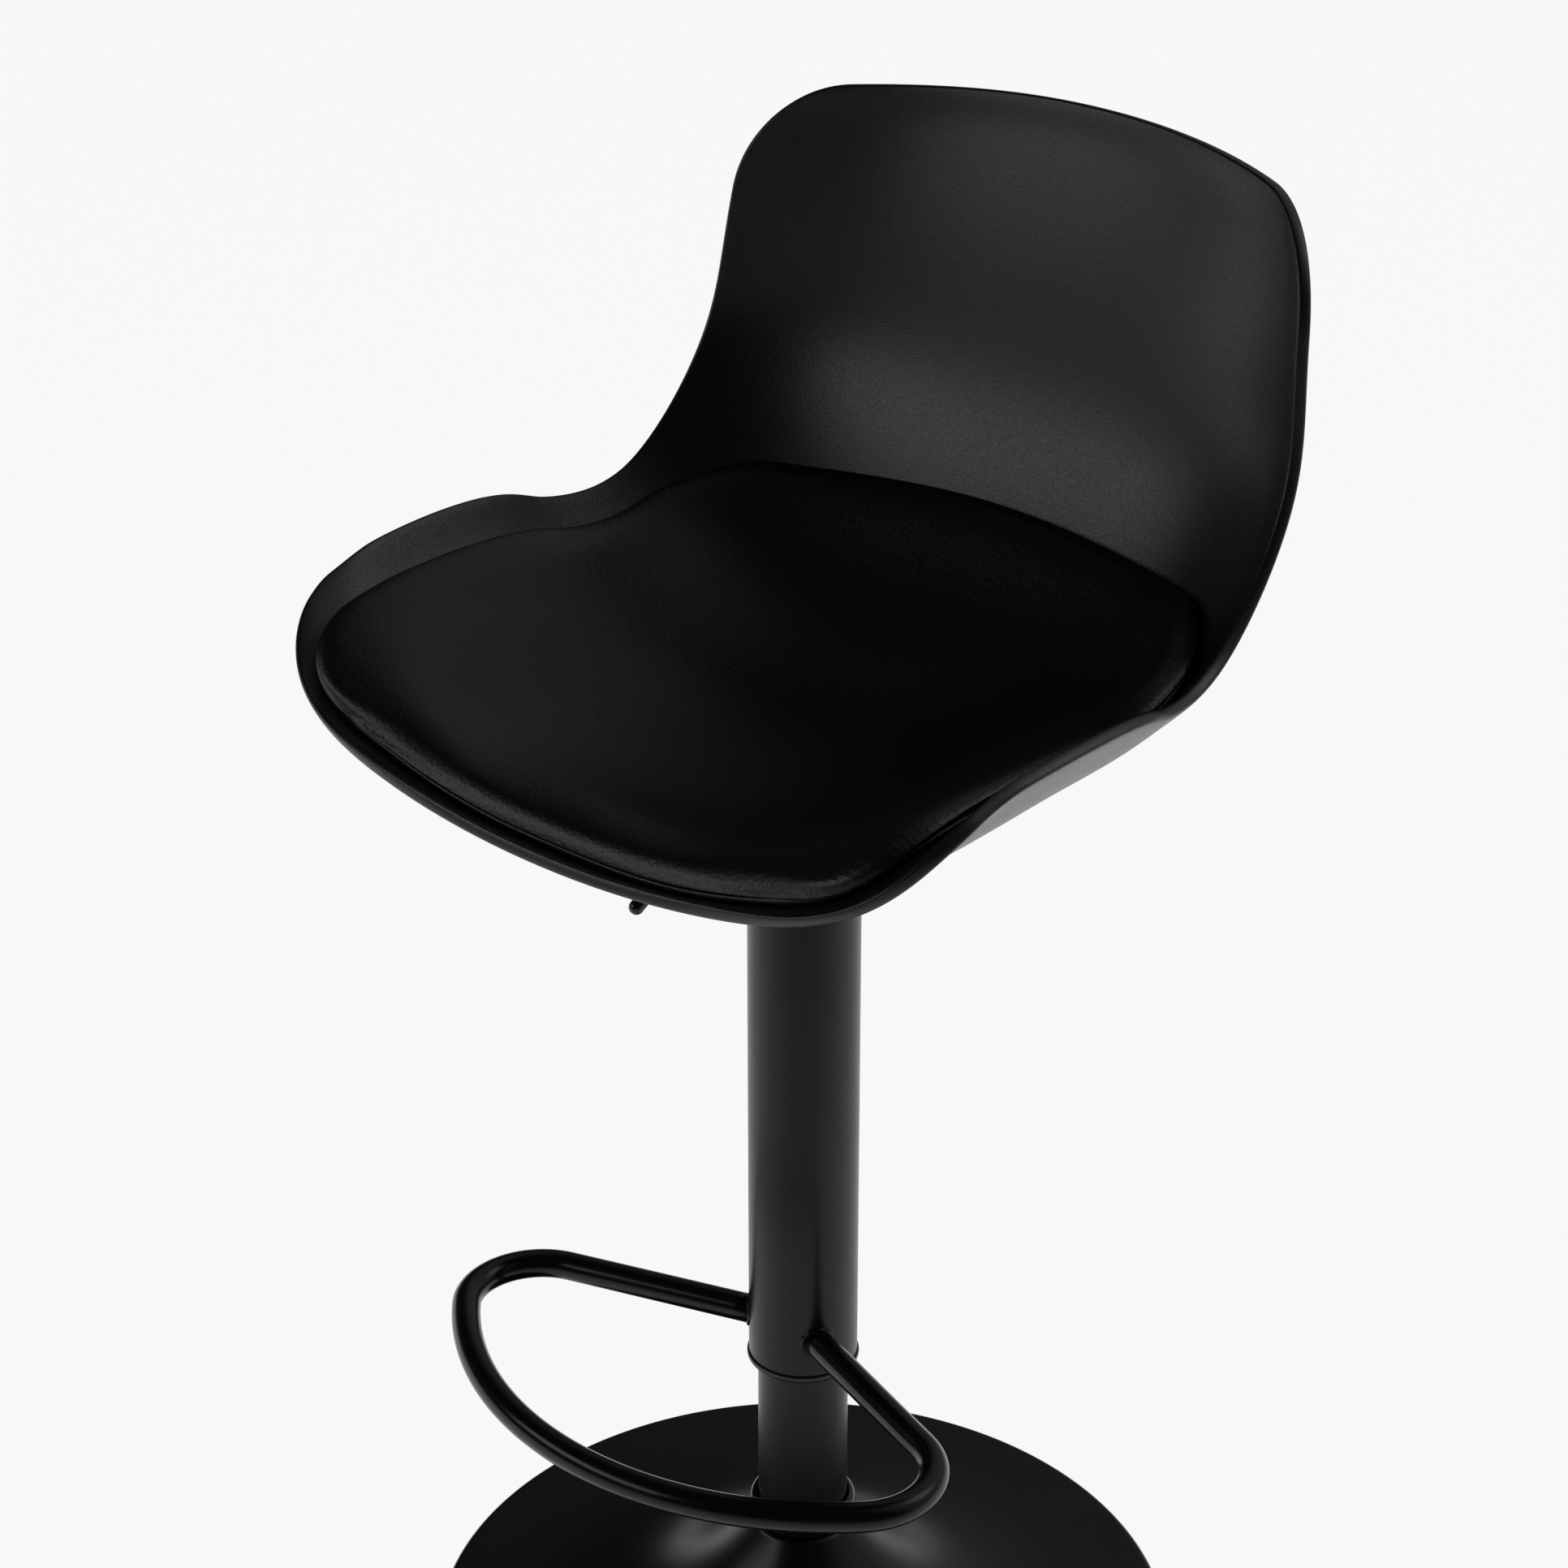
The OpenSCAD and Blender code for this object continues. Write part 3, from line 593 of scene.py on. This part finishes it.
def make_pad(mats):
    """The leather pad: foam with soft edges, swelled under its cover by a cloth simulation."""
    rows, cols = 84, 76
    t, u = np.meshgrid(crowded(rows), 2 * crowded(cols) - 1, indexing="ij")
    full = np.sqrt(np.maximum((1 - u ** 4) * (1 - (2 * t - 1) ** 4), 0))
    side = (1 - np.abs(u)) * PAD_HALF
    end = np.minimum(t, 1 - t) * PAD_LENGTH
    upper = shoulder(side, SHOULDER) * shoulder(end, SHOULDER)
    lower = shoulder(side, TUCK) * shoulder(end, TUCK)
    high = PAD_LOW + RIM_LIFT + (PAD_EDGE - RIM_LIFT) * upper + PAD_CROWN * full * FOAM_SHARE
    low = PAD_LOW + (RIM_LIFT - SEAM_GAP) * (1 - lower)
    top = pad_points(t, u, PAD_GROW, high).reshape(-1, 3)
    bottom = pad_points(t, u, PAD_GROW, low).reshape(-1, 3)
    edge = outline_of(rows, cols)
    size = len(top)
    faces = grid_faces(rows, cols, 0, False) + grid_faces(rows, cols, size, True)
    faces += [f[::-1] for f in band_faces(edge, [e + size for e in edge])]
    pad = add_mesh("leather_pad", np.vstack([top, bottom]), faces, mats["leather"], "seat_set",
                   ["seat_cushion"])
    swell(pad, list(range(size, 2 * size)) + edge)


def swell(piece, still):
    """Swells a closed pad with cloth pressure, and holds the points that are to stay still."""
    bpy.context.view_layer.objects.active = piece
    before = coordinates(piece.data)
    held = piece.vertex_groups.new(name="held")
    held.add(still, 1.0, "REPLACE")
    cloth = piece.modifiers.new("cloth", "CLOTH")
    for setting, value in CLOTH.items():
        setattr(cloth.settings, setting, value)
    cloth.settings.effector_weights.gravity = 0
    cloth.collision_settings.use_collision = False
    scene = bpy.context.scene
    for number in range(1, SWELL_FRAMES + 1):
        scene.frame_set(number)
    bake_modifiers(piece)
    scene.frame_set(1)
    move = coordinates(piece.data) - before
    length = np.linalg.norm(move, axis=1, keepdims=True)
    move *= np.minimum(1.0, SWELL_CAP / np.maximum(length, 1e-9))
    set_coordinates(piece.data, before + evened(piece.data, move, still))
    smooth = piece.modifiers.new("smooth", "SMOOTH")
    smooth.iterations = 2
    smooth.factor = 0.5
    divide = piece.modifiers.new("divide", "SUBSURF")
    divide.levels = 1
    divide.render_levels = 1
    bake_modifiers(piece)
    piece.data.polygons.foreach_set("use_smooth", [True] * len(piece.data.polygons))


def evened(mesh, move, still):
    """Shares each point's move with its neighbours, so that the swell stays and wrinkles go."""
    ends = np.empty(len(mesh.edges) * 2, int)
    mesh.edges.foreach_get("vertices", ends)
    ends = ends.reshape(-1, 2)
    ends = np.concatenate([ends, ends[:, ::-1]])
    count = np.bincount(ends[:, 0], minlength=len(move))[:, None]
    for _ in range(EVEN_ROUNDS):
        total = np.zeros_like(move)
        np.add.at(total, ends[:, 0], move[ends[:, 1]])
        move = 0.5 * move + 0.5 * total / np.maximum(count, 1)
        move[still] = 0
    return move


def bake_modifiers(piece):
    """Replaces a piece's mesh with what its modifiers make of it."""
    graph = bpy.context.evaluated_depsgraph_get()
    made = bpy.data.meshes.new_from_object(piece.evaluated_get(graph))
    piece.modifiers.clear()
    piece.data = made


def coordinates(mesh):
    flat = np.empty(len(mesh.vertices) * 3)
    mesh.vertices.foreach_get("co", flat)
    return flat.reshape(-1, 3)


def set_coordinates(mesh, points):
    mesh.vertices.foreach_set("co", np.asarray(points).ravel())
    mesh.update()


def make_pad_wrap(mats):
    """The cover's turned-under edge, which hides the edge of the board."""
    rows, cols = 70, 60
    t, u = np.meshgrid(crowded(rows), 2 * spread(cols) - 1, indexing="ij")
    edge = outline_of(rows, cols)
    t, u = t.ravel()[edge], u.ravel()[edge]
    low, high = SHELL_WALL / 2 + 0.5, PAD_LOW + 1.0
    loop = [(WRAP_OUTER, low), (WRAP_INNER, low), (WRAP_INNER, high), (WRAP_OUTER, high)]
    points, rings = [], []
    for k, (inset, height) in enumerate(loop):
        points.append(pad_points(t, u, inset, np.full(t.shape, height)))
        rings.append([k * len(edge) + i for i in range(len(edge))])
    faces = []
    for k in range(len(rings)):
        faces += band_faces(rings[k], rings[(k + 1) % len(rings)])
    add_mesh("pad_cover_edge", np.vstack(points), faces, mats["leather"], "seat_set")


# ---- Base, column and footrest ----

BASE_R, NECK_R, NECK_TOP = 210.0, 27.5, 84.0
FLARE_POWER = 3.6
COVER_EDGE_H = 10.0
COVER_WALL = 1.5
STAND_R = 25.0
SLEEVE_R, SLEEVE_WALL = 30.0, 1.5
SLEEVE_BOTTOM, SLEEVE_TOP = 194.0, 479.0
SLEEVE_BORE = SLEEVE_R - SLEEVE_WALL
SKIN = 0.05                               # gap that keeps touching faces from coinciding
COLLAR_R, COLLAR_LOW, COLLAR_TOP = 29.7, 84.2, 97
EDGE_ROUND, EDGE_LOW = 3.5, 3.0           # of the base cover's turned-down edge
RING_BORE, RING_LIP_R, RING_R, RING_SPIGOT_R = 25.1, 27.4, 31, 28.4
RING_LOW, RING_STEP, RING_TOP, RING_SPIGOT_TOP = 187.5, 190.5, 193.9, 228


def trumpet(run, inward=0.0):
    r = BASE_R - run * (BASE_R - NECK_R)
    slope = (NECK_TOP - COVER_EDGE_H) * FLARE_POWER * run ** (FLARE_POWER - 1) / (BASE_R - NECK_R)
    size = math.hypot(slope, 1)
    z = COVER_EDGE_H + (NECK_TOP - COVER_EDGE_H) * run ** FLARE_POWER
    return r - inward * slope / size, z - inward / size


def make_base(mats):
    """The spun steel cover, with its edge turned down in a soft round."""
    steps = 72
    inside = BASE_R - COVER_WALL
    upper = [trumpet(k / steps) for k in range(steps + 1) if k > 1]
    lower = [trumpet(k / steps, COVER_WALL) for k in range(steps, 1, -1)]
    rim = []
    for k in range(9):
        turn = math.radians(90 * k / 8)
        rim.append((BASE_R - EDGE_ROUND + EDGE_ROUND * math.cos(turn),
                    COVER_EDGE_H - EDGE_ROUND + EDGE_ROUND * math.sin(turn)))
    inner_rim = [(inside, COVER_EDGE_H - EDGE_ROUND), (inside, EDGE_LOW + 0.4)]
    foot = [(BASE_R - COVER_WALL / 2, EDGE_LOW), (BASE_R, EDGE_LOW + 0.4)]
    outline = foot + rim + upper + lower + inner_rim
    lathe("trumpet_base", outline, mats["steel"], "base", ["base_cover"], 256)


def make_column(mats):
    """The collar, the sleeve and the ring that closes the sleeve, each with its edges broken."""
    collar = rounded([(STAND_R + SKIN, COLLAR_LOW, 0), (COLLAR_R, COLLAR_LOW, 2.6),
                      (COLLAR_R, COLLAR_TOP, 3.6), (STAND_R + SKIN, COLLAR_TOP, 0.8)], 8)
    lathe("glossy_collar", collar, mats["gloss"], "base", ["trim_collar"])
    top = SLEEVE_TOP - SKIN
    sleeve = rounded([(SLEEVE_BORE, SLEEVE_BOTTOM, 0.3), (SLEEVE_R, SLEEVE_BOTTOM, 0.6),
                      (SLEEVE_R, top, 0.3), (SLEEVE_BORE, top, 0.3)])
    lathe("column_sleeve", sleeve, mats["steel"], "seat_set", ["sleeve"], 160)
    ring = rounded([(RING_BORE, RING_LOW, 0.4), (RING_LIP_R, RING_LOW, 0.8),
                    (RING_LIP_R, RING_STEP, 0.5), (RING_R, RING_STEP, 1.2),
                    (RING_R, RING_TOP, 0.8), (RING_SPIGOT_R, RING_TOP, 0.3),
                    (RING_SPIGOT_R, RING_SPIGOT_TOP, 0.8), (RING_BORE, RING_SPIGOT_TOP, 0.4)])
    lathe("sleeve_end_ring", ring, mats["plastic"], "seat_set",
          ["sleeve_guide_ring"])


FOOT_R, FOOT_Z = 8.0, 216.0
FOOT_FRONT_R, FOOT_REACH, FOOT_CORNER_R = 200.0, 180.0, 40.0
FOOT_ARM = math.radians(19)
ARM_START = np.array((24.0, -16.0))
WELD_BEAD, WELD_SINK = 1.3, 0.4


def footrest_path():
    """Centreline of the right half, from the sleeve to the middle of the front, with directions."""
    front = np.array((0.0, FOOT_FRONT_R - FOOT_REACH))
    along = np.array((math.cos(FOOT_ARM), -math.sin(FOOT_ARM)))
    side = np.array((-math.sin(FOOT_ARM), -math.cos(FOOT_ARM)))
    start = ARM_START + FOOT_CORNER_R * side - front
    ahead = float(start @ along)
    length = -ahead + math.sqrt(ahead ** 2 - float(start @ start)
                                + (FOOT_FRONT_R - FOOT_CORNER_R) ** 2)
    corner = ARM_START + length * along + FOOT_CORNER_R * side
    path = []
    for k in range(15):
        path.append((ARM_START + length * k / 15 * along, along))
    begin = math.pi / 2 - FOOT_ARM
    out = corner - front
    end = math.atan2(out[1], out[0])
    for k in range(29):
        turn = begin + (end - begin) * k / 28
        place = corner + FOOT_CORNER_R * np.array((math.cos(turn), math.sin(turn)))
        path.append((place, np.array((math.sin(turn), -math.cos(turn)))))
    for k in range(1, 49):
        turn = end + (-math.pi / 2 - end) * k / 48
        place = front + FOOT_FRONT_R * np.array((math.cos(turn), math.sin(turn)))
        path.append((place, np.array((math.sin(turn), -math.cos(turn)))))
    return path, along


def make_footrest(mats):
    """One bent tube, coped onto the sleeve at both ends, with a small weld bead at each."""
    half, along = footrest_path()
    mirrored = [(p * (-1, 1), d * (1, -1)) for p, d in half[-2::-1]]
    up = np.array((0.0, 0.0, 1.0))
    sides = 40
    rings = []
    for place, direction in half + mirrored:
        centre = np.array((place[0], place[1], FOOT_Z))
        side = np.array((direction[1], -direction[0], 0.0))
        rings.append((centre, side, up, FOOT_R))
    points, faces = sweep_tube(rings, sides)
    faces = [face[::-1] for face in faces]
    points = np.array(points)
    cope_to = SLEEVE_R - WELD_SINK
    for first, way in ((0, along), (len(points) - sides, along * (-1, 1))):
        for k in range(first, first + sides):
            points[k, :2] = slide_to_circle(points[k, :2], way, cope_to)
    add_mesh("footrest_tube", points, faces, mats["bar"], "seat_set", ["footrest"])
    for name, way, sign in (("weld_right", along, 1), ("weld_left", along * (-1, 1), -1)):
        make_weld(name, way, sign, mats)


def slide_to_circle(place, way, radius):
    """Moves a place along a line until it is on a circle about the axis."""
    ahead = float(place @ way)
    inside = ahead ** 2 - float(place @ place) + radius ** 2
    return place + (-ahead + math.sqrt(max(inside, 0))) * way


def make_weld(name, way, sign, mats):
    """A bead of weld where the tube meets the sleeve."""
    around, sides = 72, 10
    side = np.array((way[1], -way[0]))
    middle = []
    for k in range(around):
        turn = 2 * math.pi * k / around
        place = ARM_START * (sign, 1) + FOOT_R * math.cos(turn) * side
        place = slide_to_circle(place, way, SLEEVE_R)
        middle.append((place[0], place[1], FOOT_Z + FOOT_R * math.sin(turn)))
    middle = np.array(middle)
    ahead = unit(np.roll(middle, -1, 0) - np.roll(middle, 1, 0))
    out = unit(middle * (1, 1, 0))
    across = np.cross(ahead, out)
    points, faces = [], []
    for k in range(around):
        size = WELD_BEAD * (1 + 0.12 * math.sin(9 * k) + 0.08 * math.sin(23 * k))
        for m in range(sides):
            turn = 2 * math.pi * m / sides
            points.append(middle[k] + size * (math.cos(turn) * out[k] + math.sin(turn) * across[k]))
    for k in range(around):
        n = (k + 1) % around
        for m in range(sides):
            j = (m + 1) % sides
            faces.append((k * sides + m, k * sides + j, n * sides + j, n * sides + m))
    add_mesh(name, points, faces, mats["bar"], "seat_set")


# ---- Lever ----

LEVER_R, LEVER_Z = 4.0, 522.0
LEVER_YAW = math.radians(-13)
LEVER_BEND_AT, LEVER_BEND_R = 78.0, 16.0
LEVER_DROOP = math.radians(40)
LEVER_DROP = 22.0
LEVER_INNER = 5.0


def make_lever(mats):
    """A bent rod with a rounded tip; out is the distance from the axis, down the drop."""
    setback = LEVER_BEND_R * math.tan(LEVER_DROOP / 2)
    line = [(-LEVER_INNER, 0, 0), (-LEVER_INNER + 1, 0, 0), (10, 0, 0), (30, 0, 0), (50, 0, 0),
            (LEVER_BEND_AT - setback - 2, 0, 0)]
    for k in range(13):
        turn = LEVER_DROOP * k / 12
        line.append((LEVER_BEND_AT - setback + LEVER_BEND_R * math.sin(turn),
                     -LEVER_BEND_R * (1 - math.cos(turn)), turn))
    whole = LEVER_DROP / math.sin(LEVER_DROOP)
    c, s = math.cos(LEVER_DROOP), math.sin(LEVER_DROOP)
    for k in range(1, 9):
        run = setback + (whole - setback) * k / 8
        line.append((LEVER_BEND_AT + run * c, -run * s, LEVER_DROOP))
    rings = []
    yaw = np.array((math.sin(LEVER_YAW), -math.cos(LEVER_YAW), 0.0))
    side = np.array((-yaw[1], yaw[0], 0.0))
    top = np.array((0.0, 0.0, 1.0))
    for out, drop, turn in line:
        up = math.cos(turn) * top + math.sin(turn) * yaw
        rings.append((out * yaw + (LEVER_Z + drop) * top, side, up, LEVER_R))
    centre, side, up, _ = rings[-1]
    ahead = math.cos(LEVER_DROOP) * yaw - math.sin(LEVER_DROOP) * top
    for k in range(1, 9):
        turn = math.pi / 2 * k / 9
        rings.append((centre + LEVER_R * math.sin(turn) * ahead, side, up,
                      LEVER_R * math.cos(turn)))
    points, faces = sweep_tube(rings, 32)
    add_mesh("lift_lever", points, faces, mats["gloss"], "lever_set", ["lever"])


# ---- CAD pieces that keep their shape ----

KEPT = {
    "rubber": ["edge_ring", "stop_bumper"],
    "weight": ["weight_plate"],
    "steel": ["base_hub", "stand_tube", "gas_cylinder", "rod_guide", "sleeve_cap", "taper_socket",
              "seat_plate", "lever_bracket"],
    "bright": ["hub_bolts", "bearing_lower_race", "bearing_balls", "bearing_upper_race",
               "retaining_clip", "piston", "lever_pin", "seat_bolts", "seat_washers"],
    "chrome": ["piston_rod"],
    "brass": ["bearing_cage", "threaded_inserts"],
    "nylon": ["guide_bush"],
    "pin": ["release_pin"],
    "shell": ["shell_bosses"],
    "board": ["cushion_board"],
}


def finish_cad_pieces(mats):
    """Gives each CAD piece that is shown as it is its material."""
    for key, names in KEPT.items():
        for name in names:
            for slot in NODES[name].material_slots:
                slot.link = "OBJECT"
                slot.material = mats[key]


def main():
    bpy.context.scene.view_settings.view_transform = "Standard"
    mats = make_materials()
    make_camera()
    make_light()
    make_floor()
    make_shell(mats)
    make_pad(mats)
    make_pad_wrap(mats)
    make_base(mats)
    make_column(mats)
    make_footrest(mats)
    make_lever(mats)
    finish_cad_pieces(mats)
    bpy.context.view_layer.update()


main()
